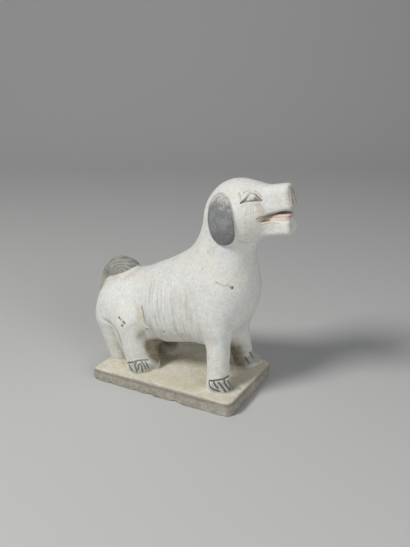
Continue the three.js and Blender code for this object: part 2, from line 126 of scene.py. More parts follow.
def torso(P, M):
    t = egg(P, **CHEST)
    t = smin(t, taper(P, **BARREL), 14)
    t = smin(t, egg(P, **BRISKET), 10)
    t = smin(t, egg(P, **RUMP), 16)
    t = smin(t, egg(M, **BUTTOCK), 10)
    t = smin(t, egg(M, **SHOULDER), 14)
    return smin(t, taper(P, **NECK), 26)
def gape(P):
    up = (P[2] - UPPER_LIP[0] - UPPER_LIP[1] * (P[0] - 107)) / math.hypot(1, UPPER_LIP[1])
    low = (LOWER_LIP[0] + LOWER_LIP[1] * (P[0] - 107) - P[2]) / math.hypot(1, LOWER_LIP[1])
    return smax(smax(up, low, 2.5), MOUTH_CORNER_X - P[0], 4)
def head(P, M):
    h = egg(P, **SKULL)
    h = smin(h, egg(P, **CHEEK), 12)
    h = smin(h, bar(P, **MUZZLE), 14)
    h = smin(h, bar(P, **JAW), 11)
    h = smin(h, egg(M, **EYE), 2)
    return smax(h, -gape(P), 2)
def foreleg(P, leg):
    return smin(post(P, (*leg["top"], FORE_TOP_Z), (*leg["foot"], FOOT_Z), leg["r0"], leg["r1"]),
                egg(P, (*leg["paw"], TOE_Z), leg["half"], 0, leg["turn"]), leg["soften"])
def hindleg(M):
    l = post(M, **THIGH)
    l = smin(l, post(M, **INNER_THIGH), 6)
    l = smin(l, egg(M, HIND_PAW["at"], HIND_PAW["half"], 0, HIND_PAW["turn"]), 5)
    return smin(l, taper(M, **HOCK), 6)
def tail(P):
    return smin(smin(egg(P, **TAIL_CURL), egg(P, **TAIL_TIP), 5),
                taper(P, TAIL_ROOT["a"], TAIL_ROOT["b"], TAIL_ROOT["r"], TAIL_ROOT["r"] - 0.01), 6)
def ear_oval(P):
    """Distance in side view to the ear's outline, an oval a little squarer than an ellipse, its lower end forward."""
    n = EAR["square"]
    x = np.abs(P[0] - EAR["at"][0] + EAR["lean"] * (P[2] - EAR["at"][1])) / EAR["half"][0] + 1e-6
    z = np.abs(P[2] - EAR["at"][1]) / EAR["half"][1] + 1e-6
    a = (x ** n + z ** n) ** (1 / n)
    slope = a ** (1 - n) * np.hypot(x ** (n - 1) / EAR["half"][0], z ** (n - 1) / EAR["half"][1])
    return (a - 1) / np.maximum(slope, 1e-3)
def dog(P):
    M = (P[0], np.abs(P[1]), P[2])
    d = smin(torso(P, M), head(P, M), 16)
    d = smin(smin(d, bar(P, **PALATE), 1), bar(P, **TONGUE), 0.8)
    d = smin(d, smax(d - EAR["thick"], ear_oval(P), EAR["edge"]), 1)
    d = smin(d, foreleg(P, RIGHT_FORE), 8)
    d = smin(d, foreleg(P, LEFT_FORE), 10)
    d = smin(d, hindleg(M), 10)
    return np.maximum(smin(d, tail(P), 2.5), LEG_END_Z - P[2])

# ------------------------------------------------------------------------------------------------ the slab
def slab_outline():
    """The slab's outline from above, with its four rounded corners, counter-clockwise."""
    l, w = SLAB_LENGTH / 2, SLAB_WIDTH / 2
    corners = [((-l - SLAB_REAR_SKEW, -w), SLAB_CORNER["near_rear"]), ((l + SLAB_FRONT_SKEW, -w), SLAB_CORNER["near_front"]),
               ((l - SLAB_FRONT_SKEW, w), SLAB_CORNER["far_front"]), ((-l + SLAB_REAR_SKEW, w), SLAB_CORNER["far_rear"])]
    out = []
    for i, (c, r) in enumerate(corners):
        c = np.array(c, float)
        u = np.array(corners[i - 1][0], float) - c; v = np.array(corners[(i + 1) % 4][0], float) - c
        u /= np.linalg.norm(u); v /= np.linalg.norm(v)
        half = math.acos(float(u @ v)) / 2
        mid = (u + v) / np.linalg.norm(u + v)
        centre = c + mid * r / math.sin(half)
        a0 = math.atan2(*((c + u * r / math.tan(half)) - centre)[::-1]); a1 = math.atan2(*((c + v * r / math.tan(half)) - centre)[::-1])
        if a1 < a0: a1 += 2 * math.pi
        for t in np.linspace(a0, a1, 9): out.append(centre + r * np.array([math.cos(t), math.sin(t)]))
    return np.array(out)
OUTLINE = slab_outline()
def slab_plan(x, y):
    """Signed distance in plan to the slab's outline, which is convex."""
    d2 = np.full(x.shape, 1e18); inside = np.full(x.shape, -1e18)
    for i in range(len(OUTLINE)):
        a, b = OUTLINE[i - 1], OUTLINE[i]
        e = b - a; L = math.hypot(*e)
        if L < 1e-9: continue
        wx, wy = x - a[0], y - a[1]
        t = np.clip((wx * e[0] + wy * e[1]) / L ** 2, 0, 1)
        d2 = np.minimum(d2, (wx - t * e[0]) ** 2 + (wy - t * e[1]) ** 2)
        inside = np.maximum(inside, (wx * e[1] - wy * e[0]) / L)
    return np.where(inside > 0, np.sqrt(d2), inside)
def slab_top(x):
    return SLAB_REAR_THICKNESS + (SLAB_FRONT_THICKNESS - SLAB_REAR_THICKNESS) * (x / SLAB_LENGTH + 0.5)

# ================================================================================================ noise
def lattice_noise(P, scale, seed, stretch=(1, 1, 1)):
    """Smooth value noise, -1 to 1, on a lattice of `scale` millimetres."""
    q = [(P[i] / (scale * stretch[i])) for i in range(3)]
    f = [np.floor(c) for c in q]
    t = [c - g for c, g in zip(q, f)]
    t = [c * c * c * (c * (c * 6 - 15) + 10) for c in t]
    f = [g.astype(np.int64) for g in f]
    def value(i, j, k):
        h = ((f[0] + i) * 73856093 ^ (f[1] + j) * 19349663 ^ (f[2] + k) * 83492791 ^ seed * 2654435761) & 0xFFFFFFFF
        h = ((h ^ (h >> 15)) * 2246822519) & 0xFFFFFFFF
        h = ((h ^ (h >> 13)) * 3266489917) & 0xFFFFFFFF
        h = h ^ (h >> 16)
        return (h & 0xFFFFFF) / float(0x7FFFFF) - 1.0
    out = 0.0
    for i in (0, 1):
        for j in (0, 1):
            for k in (0, 1):
                out = out + value(i, j, k) * (t[0] if i else 1 - t[0]) * (t[1] if j else 1 - t[1]) * (t[2] if k else 1 - t[2])
    return out

# ================================================================================================ relief
def stroke(P, points, width, depth, ends=1.0):
    """How far a tool drawn along points pushes the surface in: `depth` on the line, fading over `width`."""
    pts = np.array(points, float)
    reach = 2.6 * width
    lo, hi = pts.min(0) - reach, pts.max(0) + reach
    out = np.zeros(P[0].shape)
    w = np.flatnonzero((P[0] > lo[0]) & (P[0] < hi[0]) & (P[1] > lo[1]) & (P[1] < hi[1]) & (P[2] > lo[2]) & (P[2] < hi[2]))
    if not len(w): return out
    q = np.stack([c[w] for c in P], 1)
    best = np.full(len(w), 1e9); along = np.zeros(len(w))
    total = sum(np.linalg.norm(pts[i + 1] - pts[i]) for i in range(len(pts) - 1)); run = 0.0
    for i in range(len(pts) - 1):
        e = pts[i + 1] - pts[i]; L = np.linalg.norm(e)
        t = np.clip((q - pts[i]) @ e / L ** 2, 0, 1)
        r = np.linalg.norm(q - pts[i] - t[:, None] * e, axis=1)
        better = r < best
        best = np.where(better, r, best); along = np.where(better, (run + t * L) / total, along)
        run += L
    fade = 1 - (1 - ends) * np.abs(2 * along - 1) ** 2
    out[w] = depth * fade * np.exp(-(best / width) ** 2)
    return out
def curve(points, n=4):
    """The points with a smooth curve through them."""
    p = np.array(points, float)
    if len(p) < 3: return p
    p = np.vstack([2 * p[0] - p[1], p, 2 * p[-1] - p[-2]])
    out = []
    for i in range(1, len(p) - 2):
        for t in np.arange(n) / n:
            out.append(0.5 * (2 * p[i] + (p[i + 1] - p[i - 1]) * t + (2 * p[i - 1] - 5 * p[i] + 4 * p[i + 1] - p[i + 2]) * t * t
                              + (3 * p[i] - p[i - 1] - 3 * p[i + 1] + p[i + 2]) * t ** 3))
    return np.array(out + [p[-2]])

# The head's lines are the same on both sides: x, distance from the middle, z.
LID_UPPER = curve([(91.6, 27.2, 248.8), (94.6, 24.8, 251.8), (96.5, 22.8, 254.9), (97.3, 21.9, 257.5), (98.7, 20.0, 258.5), (101.8, 18.9, 258.1), (104.6, 17.1, 256.0), (107.9, 16.3, 253.4), (110.0, 15.6, 251.3)])
LID_LOWER = curve([(91.7, 27.8, 248.5), (94.9, 26.1, 249.9), (98.7, 23.9, 250.8), (102.3, 21.5, 251.1), (104.9, 19.5, 251.7), (107.2, 18.2, 251.2)])
EYE_CORNER = curve([(104.2, 20.6, 254.2), (106.2, 18.6, 252.3), (109.3, 16.2, 251.3)])
OUTER_CORNER = curve([(91.6, 27.5, 248.6), (93.6, 26.2, 250.2), (95.6, 24.6, 251.8)])
LID_FOLD = curve([(92.6, 30.2, 247.1), (95.4, 28.3, 248.6), (99.0, 25.9, 249.3), (103.6, 23.1, 249.2), (108.4, 19.8, 249.0)])
LID_RIDGE = curve([(92.8, 25.6, 252.8), (95.0, 21.8, 257.6), (96.3, 19.6, 259.9), (99.7, 18.1, 260.5), (103.3, 16.7, 259.2), (107.3, 16.2, 256.6), (110.8, 15.9, 253.4)])
BROWS = [curve([(91.0, 21.4, 258.6), (93.5, 19.1, 260.6), (95.3, 17.9, 261.4), (97.7, 17.3, 261.8)]), curve([(86.6, 23.4, 258.6), (89.0, 25.2, 255.6), (90.2, 26.4, 252.6)]),
         curve([(102.3, 14.6, 261.2), (106.6, 15.2, 258.6), (110.3, 15.2, 255.4)])]
COMBED = [curve([(98.6, 27.6, 245.6), (99.0, 28.9, 240.6), (99.6, 29.2, 236.0)]), curve([(100.0, 26.7, 245.4), (100.6, 27.8, 241.0), (101.2, 28.2, 237.1)]),
          curve([(102.4, 25.3, 245.4), (103.0, 26.3, 241.0), (103.6, 26.7, 236.9)]), curve([(104.7, 23.6, 245.6), (105.3, 24.6, 241.6), (105.8, 25.0, 238.6)])]
NOSTRIL = curve([(139.2, 1.6, 265.0), (140.4, 2.7, 260.4), (141.6, 3.1, 255.0), (142.3, 4.6, 250.4)])
NOSE_RIM = curve([(137.4, 2.1, 267.4), (139.3, 4.5, 264.3), (139.7, 7.6, 258.4), (140.0, 8.7, 252.1), (141.0, 8.0, 247.3)])
LIP_UPPER = curve([(108.4, 23.1, 231.9), (110.8, 20.7, 233.7), (113.9, 17.0, 235.0), (117.5, 14.6, 236.6), (122.0, 12.2, 238.2), (128.7, 11.4, 240.6), (133.8, 11.2, 242.2), (137.9, 10.6, 243.8)])
TONGUE_LINE = curve([(116.0, 10.2, 232.2), (120.6, 9.9, 232.6), (128.7, 9.5, 234.0), (135.8, 9.3, 235.1), (140.1, 5.6, 234.9), (141.4, 0, 235.0)])
JAW_EDGE = curve([(109.4, 21.2, 226.4), (113.2, 17.7, 225.5), (118.7, 14.0, 226.6), (123.2, 12.3, 227.3), (130.0, 11.6, 227.4)])
JAW_SHADE = curve([(112.0, 15.0, 214.0), (122.8, 11.9, 214.6), (130.4, 11.6, 215.4), (137.5, 11.4, 217.1)])
EAR_ARCS = [curve([(66.8, 36.8, 213.8), (71.7, 36.5, 212.2), (77.3, 36.5, 215.0), (79.2, 36.6, 218.4)]), curve([(66.0, 36.6, 210.2), (70.9, 36.2, 208.3), (78.2, 35.9, 211.8), (80.8, 36.5, 216.0)]),
            curve([(65.3, 36.4, 206.6), (71.3, 35.7, 204.5), (79.1, 35.2, 209.4), (82.8, 35.6, 213.7)])]
JAW_CREASE = curve([(88.0, 24.0, 203.6), (93.4, 17.6, 201.8), (97.8, 10.0, 200.8), (99.4, 0.0, 200.0)])
# The hind legs are a pair too.
HOCK_CREASE = curve([(-92.9, 44.4, 77.2), (-83.9, 45.4, 75.8), (-73.6, 49.4, 75.0), (-66.4, 51.5, 69.5), (-62.6, 51.0, 60.7), (-62.0, 49.0, 48.9), (-63.2, 46.0, 38.0), (-66.0, 42.0, 26.0)])
HIND_CUFF = curve([(-54.6, 46.6, 25.6), (-52.2, 48.4, 28.2), (-45.0, 48.9, 30.6), (-39.1, 46.4, 33.0), (-33.1, 40.1, 32.6), (-30.5, 34.5, 31.4)])
HIND_TOES = [curve([(-51.8, 48.7, 27.7), (-50.5, 49.6, 25.0), (-47.7, 51.0, 22.3), (-44.0, 51.6, 20.6)]), curve([(-40.9, 47.7, 31.1), (-41.9, 49.4, 27.2), (-39.3, 50.8, 23.4), (-37.6, 51.2, 19.8)]),
             curve([(-37.2, 49.2, 23.0), (-37.7, 47.6, 27.4), (-36.7, 46.0, 28.9), (-34.7, 45.6, 26.9), (-32.8, 46.6, 23.0), (-31.9, 47.0, 19.5)]),
             curve([(-35.6, 43.6, 30.9), (-32.6, 42.7, 27.1), (-30.0, 42.8, 22.4)]), curve([(-32.6, 40.2, 31.0), (-30.5, 39.4, 27.2), (-28.6, 39.2, 22.6)]),
             curve([(-30.6, 34.4, 30.0), (-28.9, 33.2, 26.6), (-28.2, 32.2, 22.4)])]
# The forelegs were set one by one and differ.
FORE_CUFF = curve([(61.9, -45.2, 30.6), (62.8, -44.8, 32.0), (65.8, -45.4, 32.8), (70.5, -44.9, 34.4), (76.9, -41.2, 35.5), (79.4, -36.7, 36.2), (80.2, -30.3, 36.0), (78.4, -23.5, 34.4)])
FORE_TOES = [curve([(62.1, -44.9, 31.2), (62.0, -45.7, 29.7), (62.7, -45.2, 26.7), (65.5, -46.5, 24.3), (71.1, -47.3, 22.9), (76.7, -46.8, 22.3)]), curve([(68.2, -45.4, 32.0), (71.1, -46.0, 28.2), (74.5, -46.1, 25.6)]),
             curve([(74.2, -44.0, 31.9), (77.9, -43.0, 27.6), (80.5, -42.7, 24.5), (82.6, -42.0, 21.0)]),
             curve([(78.9, -38.5, 34.1), (80.2, -38.8, 29.5), (83.3, -37.5, 24.9), (85.2, -34.6, 20.7)]), curve([(81.1, -32.4, 31.0), (82.9, -31.1, 26.3), (84.5, -31.2, 21.9)]),
             curve([(80.4, -26.6, 31.0), (82.2, -25.6, 26.6), (82.8, -25.0, 22.4)])]
FAR_TOES = [curve([(73.0, 27.6, 33.3), (75.3, 29.4, 28.6), (78.4, 31.4, 23.0)]), curve([(75.7, 34.0, 38.6), (77.6, 37.2, 32.4), (80.6, 39.6, 27.4), (83.6, 41.4, 22.0)]),
            curve([(76.6, 39.0, 36.6), (80.0, 44.0, 30.4), (83.6, 47.0, 25.4), (85.6, 49.4, 21.0)]), curve([(73.8, 44.2, 36.8), (78.6, 50.6, 30.6), (82.0, 53.8, 25.4), (83.4, 55.4, 21.0)]),
            curve([(66.6, 49.4, 34.0), (70.2, 54.6, 28.6), (72.6, 57.4, 22.6)])]
FAR_CUFF = curve([(72.0, 28.6, 36.0), (76.4, 34.4, 39.2), (76.6, 39.6, 38.6), (73.6, 44.6, 38.4), (67.0, 49.0, 36.4), (60.0, 49.0, 33.4)])
CHEST_CRACK = [curve([(68.4, -41.2, 156.7), (72.0, -40.6, 155.1), (75.7, -39.3, 153.2), (79.1, -37.2, 152.9), (80.8, -35.4, 153.8)]), curve([(80.8, -35.4, 153.8), (83.4, -33.3, 151.2), (84.8, -32.5, 149.5), (85.7, -31.8, 150.9)])]
FLANK_GROOVE = curve([(-34.2, -42.1, 105.6), (-32.0, -42.9, 99.3), (-30.6, -42.7, 91.5), (-29.7, -41.9, 85.4), (-28.5, -41.1, 80.7)])
BELLY_PIT = (-5.2, -38.4, 76.6)
THIGH_SPOTS = [((-60.7, -52.9, 89.2), 1.8), ((-57.9, -53.5, 87.5), 1.3), ((-54.2, -53.7, 85.4), 1.7), ((-55.4, -54.0, 80.2), 1.9), ((-52.5, -53.4, 83.6), 1.6), ((-66.4, -54.2, 78.6), 1.0)]
TAIL_EYE, TAIL_RING = (-82.5, 135.0), (6.2, 2.9)               # the middle of the tail's coil in x and z, and how far apart its turns are

def ball(P, at, r, k=1.0):
    return np.exp(-(((P[0] - at[0]) ** 2 + (P[1] - at[1]) ** 2 + (P[2] - at[2]) ** 2) / r ** 2) * k)
def within(P, lo, hi):
    return (P[0] > lo[0]) & (P[0] < hi[0]) & (P[1] > lo[1]) & (P[1] < hi[1]) & (P[2] > lo[2]) & (P[2] < hi[2])
def ramp(x, a, b):
    t = np.clip((x - a) / (b - a), 0, 1)
    return t * t * (3 - 2 * t)
def pick(P, w): return tuple(c[w] for c in P)

def head_lines(P):
    """Grooves and ridges of the face; the side is taken from P's own y, so both sides get them."""
    M = (P[0], np.abs(P[1]), P[2])
    r = stroke(M, LID_UPPER, 1.15, 1.7) + stroke(M, LID_LOWER, 1.05, 1.1) - stroke(M, LID_RIDGE, 1.5, 0.8) - stroke(M, LID_FOLD, 1.4, 0.8)
    r += stroke(M, OUTER_CORNER, 1.3, 1.0) + stroke(M, EYE_CORNER, 1.1, 0.9)
    for b in BROWS: r += stroke(M, b, 1.0, 0.5)
    for c in COMBED: r += stroke(M, c, 0.7, 0.4)
    r += stroke(M, NOSTRIL, 1.0, 1.1) + stroke(M, NOSE_RIM, 1.3, 0.35) + stroke(M, TONGUE_LINE, 0.8, 0.5)
    r += stroke(M, JAW_CREASE, 2.8, 1.2)
    for a in EAR_ARCS: r += stroke(M, a, 0.85, 0.5)
    return r
def leg_lines(P):
    M = (P[0], np.abs(P[1]), P[2])
    r = stroke(M, HOCK_CREASE, 2.5, 2.0, 0.5) + stroke(M, HIND_CUFF, 0.9, 0.6)
    for t in HIND_TOES: r += stroke(M, t, 0.85, 0.95)
    r += stroke(P, FORE_CUFF, 0.95, 0.7) + stroke(P, FAR_CUFF, 0.95, 0.5)
    for t in FORE_TOES + FAR_TOES: r += stroke(P, t, 0.95, 1.0)
    return r
def coil(P):
    """The coil pressed into both faces of the tail's curl, 0 in the groove and 1 between."""
    x, z = (P[0] - TAIL_EYE[0]) / TAIL_RING[0], (P[2] - TAIL_EYE[1]) / TAIL_RING[1]
    turn = np.arctan2(z, x * np.sign(P[1] + 1e-9)) / (2 * math.pi)
    return np.abs(np.mod(np.hypot(x, z) - turn + 0.12 * lattice_noise(P, 7, 17), 1) - 0.5) * 2
def combing(P):
    """The long strokes that a wet brush left in the slip, running down the sides."""
    u = P[0] + 0.10 * (P[2] - 90) + 3.2 * lattice_noise(P, 30, 11)
    q = (u, P[1] * 0.25, P[2])
    a = lattice_noise(q, 3.1, 12, (1, 3, 13)) + 0.6 * lattice_noise(q, 1.7, 13, (1, 3, 15))
    return a
def comb_mask(P):
    m = ramp(P[0], -44, -22) * (1 - ramp(P[0], 34, 62)) * ramp(P[2], 50, 66) * (1 - ramp(P[2], 128, 160)) * ramp(np.abs(P[1]), 14, 26)
    return m
def chips(P, plan, top):
    """How much has broken off the slab's edges."""
    low = np.maximum(0, 1 - np.maximum(P[2], 0) / 7.0) * np.maximum(0, 1 - np.maximum(-plan, 0) / 9.0)
    high = np.maximum(0, 1 - np.maximum(top - P[2], 0) / 5.0) * np.maximum(0, 1 - np.maximum(-plan, 0) / 6.0)
    a = lattice_noise(P, 9, 31, (1.3, 1.3, 1)) + 0.45 * lattice_noise(P, 3.6, 32)
    b = lattice_noise(P, 13, 33, (1.4, 1.4, 1)) + 0.4 * lattice_noise(P, 4.2, 34)
    return low * 2.4 * np.maximum(0, a - 0.10) + high * 1.6 * np.maximum(0, b - 0.55)
def slab(P):
    x, y, z = P
    w = np.abs(z) < 40
    d = np.where(w, 0.0, np.abs(z - 9) - 9)
    if not w.any(): return d
    Q = pick(P, w)
    plan = slab_plan(Q[0], Q[1]) + 0.55 * lattice_noise(Q, 22, 21) + 0.3 * lattice_noise(Q, 8, 22) + 0.5
    top = slab_top(Q[0]) + 0.45 * lattice_noise(Q, 27, 23) + 0.16 * lattice_noise(Q, 9, 24) - 0.1
    over = Q[2] - top
    s = smax(smax(plan, over, 3.4), -Q[2], 1.4)
    d[w] = s + chips(Q, plan, top)
    return d
def skin(P):
    """Unevenness of clay smoothed by hand, worn slip and small pits."""
    r = 0.42 * lattice_noise(P, 26, 1) + 0.2 * lattice_noise(P, 11, 2) + 0.075 * lattice_noise(P, 4.6, 3) + 0.05 * lattice_noise(P, 2.3, 4)
    pits = np.maximum(0, lattice_noise(P, 3.3, 5) - 0.62) * 1.1
    return r + pits * ramp(lattice_noise(P, 17, 6), -0.1, 0.5)
def figure(P):
    d = dog(P)
    near = np.abs(d) < 6
    r = np.zeros(d.shape)
    Q = pick(P, near)
    e = skin(Q) * np.where(Q[2] > 200, 0.55, 1.0)
    w = Q[2] > 195
    e[w] += head_lines(pick(Q, w))
    w = Q[2] < 95
    e[w] += leg_lines(pick(Q, w))
    w = within(Q, (-118, -30, 108), (-60, 30, 155)); T = pick(Q, w)
    on = ramp(torso(T, (T[0], np.abs(T[1]), T[2])) - tail(T), 1.5, 4.0)
    e[w] += on * ramp(np.abs(T[1]), 2, 6) * 0.5 * np.maximum(0, 1 - coil(T) / 0.5)
    w = within(Q, (-50, -60, 45), (66, 60, 165)); T = pick(Q, w)
    e[w] += comb_mask(T) * 0.34 * combing(T)
    for c in CHEST_CRACK: e += stroke(Q, c, 0.8, 0.6)
    e += stroke(Q, FLANK_GROOVE, 1.3, 1.5) + 2.2 * ball(Q, BELLY_PIT, 2.3) - 0.5 * ball(Q, BELLY_PIT, 4.4)
    e += 1.1 * ball(Q, (84.8, -32.5, 149.9), 1.5)
    for at, size in THIGH_SPOTS: e += 0.9 * ball(Q, at, size)
    r[near] = e
    return smin(d + r, slab(P), 2.6)


# ================================================================================================ surface
CELL = 0.8       # lattice the surface is found in
LO, HI = (-133, -68, -3), (147, 68, 275)
TRIANGLES = 196000

def near_surface(field, lo, hi, cell, coarse, reach):
    """The field on a lattice; exact within reach of the surface, elsewhere read off a coarse one."""
    n = [int(math.ceil((hi[i] - lo[i]) / coarse)) + 1 for i in range(3)]
    ax = [lo[i] + coarse * np.arange(n[i]) for i in range(3)]
    G = np.meshgrid(*ax, indexing="ij")
    C = field(tuple(g.ravel() for g in G)).reshape(n)
    m = int(round(coarse / cell))
    def finer(A, axis):
        k = np.arange((A.shape[axis] - 1) * m + 1)
        i = np.minimum(k // m, A.shape[axis] - 2); t = ((k - i * m) / m)
        sh = [1, 1, 1]; sh[axis] = -1; t = t.reshape(sh).astype(A.dtype)
        return np.take(A, i, axis) * (1 - t) + np.take(A, i + 1, axis) * t
    F = C.astype(np.float32)
    for axis in range(3): F = finer(F, axis)
    near = np.flatnonzero(np.abs(F.ravel()) < reach)
    i, j, k = np.unravel_index(near, F.shape)
    Q = (lo[0] + cell * i, lo[1] + cell * j, lo[2] + cell * k)
    out = np.empty(len(near))
    for s in range(0, len(near), 400000):
        out[s:s + 400000] = field(tuple(q[s:s + 400000] for q in Q))
    F.ravel()[near] = out
    return F

def net(F, lo, cell):
    """A closed mesh of quads: one vertex in each lattice cell that the surface crosses."""
    F = np.where(np.abs(F) < 1e-4, np.float32(1e-4), F)
    neg = F < 0
    n = F.shape
    strides = (n[1] * n[2], n[2], 1)
    cells, pos, quads = [], [], []
    for axis in range(3):
        a = [slice(None)] * 3; b = [slice(None)] * 3
        a[axis], b[axis] = slice(0, -1), slice(1, None)
        cross = np.nonzero(neg[tuple(a)] != neg[tuple(b)])
        i = [c.astype(np.int64) for c in cross]
        low = i[0] * strides[0] + i[1] * strides[1] + i[2]
        f0 = F.ravel()[low]; f1 = F.ravel()[low + strides[axis]]
        p = np.stack(i, 1).astype(float); p[:, axis] += f0 / (f0 - f1)
        u, v = (axis + 1) % 3, (axis + 2) % 3
        four = [low - strides[u] * du - strides[v] * dv for du, dv in ((0, 0), (1, 0), (1, 1), (0, 1))]
        q = np.stack(four, 1)
        for c in four: cells.append(c); pos.append(p)
        flip = f0 > 0
        q[flip] = q[flip][:, ::-1]
        quads.append(q)
    cells = np.concatenate(cells); pos = np.concatenate(pos); quads = np.concatenate(quads)
    ids, inverse = np.unique(cells, return_inverse=True)
    count = np.bincount(inverse)
    points = np.stack([np.bincount(inverse, pos[:, k]) / count for k in range(3)], 1)
    return np.array(lo, float) + points * cell, np.searchsorted(ids, quads)

def closed_net(F, lo, cell, rounds=6):
    """net(), after filling the few cells where two sheets of the surface would touch."""
    n = F.shape
    for _ in range(rounds):
        V, Q = net(F, lo, cell)
        E = np.sort(np.concatenate([Q[:, [0, 1]], Q[:, [1, 2]], Q[:, [2, 3]], Q[:, [3, 0]]]), axis=1)
        key, count = np.unique(E[:, 0] * len(V) + E[:, 1], return_counts=True)
        bad = key[count != 2]
        if not len(bad): break
        at = (V[np.concatenate([bad // len(V), bad % len(V)])] - np.array(lo, float)) / cell
        base = np.floor(at).astype(int)
        for c in range(8):
            i = base + np.array([c & 1, (c >> 1) & 1, c >> 2])
            F[i[:, 0], i[:, 1], i[:, 2]] = np.minimum(F[i[:, 0], i[:, 1], i[:, 2]], -0.02)
    return V, Q, len(bad)

def onto(field, V, rounds=1, most=0.6, e=0.12):
    """V moved along the field's slope onto its zero."""
    for _ in range(rounds):
        f = field((V[:, 0], V[:, 1], V[:, 2]))
        g = np.empty_like(V)
        for k in range(3):
            up = [V[:, 0], V[:, 1], V[:, 2]]
            up[k] = V[:, k] + e
            g[:, k] = (field(tuple(up)) - f) / e
        step = -g * (f / np.maximum((g * g).sum(1), 0.2))[:, None]
        length = np.linalg.norm(step, axis=1)
        V = V + step * np.minimum(1, most / np.maximum(length, 1e-9))[:, None]
    return V

# ================================================================================================ blender
def thinned(V, Q, target):
    """The quads as triangles, brought down to the target where the surface is smoothest."""
    me = bpy.data.meshes.new("raw")
    me.vertices.add(len(V)); me.vertices.foreach_set("co", V.astype(np.float32).ravel())
    me.loops.add(Q.size); me.loops.foreach_set("vertex_index", Q.astype(np.int32).ravel())
    me.polygons.add(len(Q)); me.polygons.foreach_set("loop_start", np.arange(0, Q.size, 4, dtype=np.int32))
    me.update(calc_edges=True)
    ob = bpy.data.objects.new("raw", me)
    bpy.context.scene.collection.objects.link(ob)
    dec = ob.modifiers.new("thin", "DECIMATE"); dec.ratio = min(1.0, target / (2 * len(Q))); dec.use_collapse_triangulate = True
    out = ob.evaluated_get(bpy.context.evaluated_depsgraph_get()).to_mesh()
    out.calc_loop_triangles()
    W = np.empty(len(out.vertices) * 3, np.float32); out.vertices.foreach_get("co", W)
    T = np.empty(len(out.loop_triangles) * 3, np.int32); out.loop_triangles.foreach_get("vertices", T)
    ob.to_mesh_clear()
    bpy.data.objects.remove(ob); bpy.data.meshes.remove(me)
    return W.reshape(-1, 3).astype(float), T.reshape(-1, 3)

F = near_surface(figure, LO, HI, CELL, 4.0, 3.4)
V, Q, left = closed_net(F, LO, CELL)
print("lattice", F.shape, "vertices", len(V), "edges left open", left)
V = onto(figure, V, 1)
V, T = thinned(V, Q, TRIANGLES)
V = onto(figure, V, 2, 0.4)
V[:, 2] = np.maximum(V[:, 2], 0.0)

me = bpy.data.meshes.new("dog_figure_surface")
me.vertices.add(len(V)); me.vertices.foreach_set("co", (V / 1000).astype(np.float32).ravel())
me.loops.add(T.size); me.loops.foreach_set("vertex_index", T.astype(np.int32).ravel())
me.polygons.add(len(T)); me.polygons.foreach_set("loop_start", np.arange(0, T.size, 3, dtype=np.int32))
me.update(calc_edges=True)
me.polygons.foreach_set("use_smooth", np.ones(len(T), bool))
piece = bpy.data.objects.new("earthenware_dog", me)
bpy.context.scene.collection.objects.link(piece)
N = np.empty(len(V) * 3, np.float32); me.vertex_normals.foreach_get("vector", N); N = N.reshape(-1, 3).astype(float)

# ================================================================================================ where the colours lie
def coarse(P):
    """The figure without its relief."""
    return smin(dog(P), np.maximum(slab_plan(P[0], P[1]), np.maximum(P[2] - slab_top(P[0]), -P[2])), 3)
P = tuple(V.T)
M = (P[0], np.abs(P[1]), P[2])
marks = {}
def mark(name, values):
    marks[name] = values
    a = me.attributes.new(name, "FLOAT", "POINT"); a.data.foreach_set("value", values.astype(np.float32))

base = dog(P)
clay = slab(P)
mark("on_slab", np.clip(base - clay, -8, 8))
mark("slab_in", np.clip(-slab_plan(P[0], P[1]), -1, 12))
mark("slab_low", np.clip(slab_top(P[0]) - P[2], -2, 30))
# how enclosed each point is; below it darkens the colour as dirt and painted shade in hollows and creases
hollow = 0.0
for step, share in ((1.5, 0.20), (3, 0.25), (6, 0.25), (11, 0.30)):
    R = tuple((V + N * step).T)
    hollow = hollow + share * np.clip(1 - (coarse(R) - coarse(P)) / step, 0, 1.4)
mark("hollow", hollow)
mark("dent", np.where(base < clay, base, 0) * -1.0)          # how far below the smooth form: + in grooves
mark("ear", np.where(M[1] > 18, np.clip(-ear_oval(P), -8, 8), -8))
w = within(P, (-135, -30, 80), (-55, 30, 160))
t = np.full(len(V), -8.0); Tn = pick(P, w)
t[w] = np.clip(torso(Tn, (Tn[0], np.abs(Tn[1]), Tn[2])) - tail(Tn), -8, 8)
mark("tail", t)
t = np.zeros(len(V)); t[w] = np.maximum(0, 1 - coil(Tn) / 0.6)
mark("coil", t)
mark("mouth", np.where(P[0] > 100, np.clip(1.2 - gape(P), -6, 6), -6))
mark("tongue", np.where(P[0] > 100, np.clip(0.8 - bar(P, **TONGUE), -6, 6), -6))
lx, ly, lz = local(P, MUZZLE["at"], MUZZLE["pitch"])
mark("nose", np.where((np.abs(lz) < 18) & (P[2] > 243), np.clip(lx - (MUZZLE["half"][0] - 3.2), -6, 6), -6))

def lines(which, width, strength, sides=False):
    out = np.zeros(len(V))
    for c in which: out = np.maximum(out, stroke(M if sides else P, c, width, strength))
    return out
ink = np.zeros(len(V))                    # thin grey wash drawn with a brush
for layer in (lines([HIND_CUFF], 1.3, 0.8, True), lines(HIND_TOES, 1.25, 0.9, True), lines([FORE_CUFF], 1.25, 1.0), lines([FAR_CUFF], 1.1, 0.5),
              lines(FORE_TOES, 1.3, 1.0), lines(FAR_TOES, 1.3, 0.95), lines(CHEST_CRACK, 0.9, 0.55), lines([FLANK_GROOVE], 1.8, 0.42),
              lines(EAR_ARCS, 0.95, 0.6, True)):
    ink = np.maximum(ink, layer)
for at, size in THIGH_SPOTS: ink = np.maximum(ink, 0.9 * ball(P, at, size))
ink = np.maximum(ink, 0.95 * ball(P, (84.8, -32.5, 149.9), 1.9))
ink = np.maximum(ink, 0.8 * ball(P, (-28.9, -39.8, 76.1), 1.8))
mark("ink", ink)
sepia = np.zeros(len(V))                  # brownish lines of the face, with painted shade in the eye's outer corner and a painted shadow under the upper lip
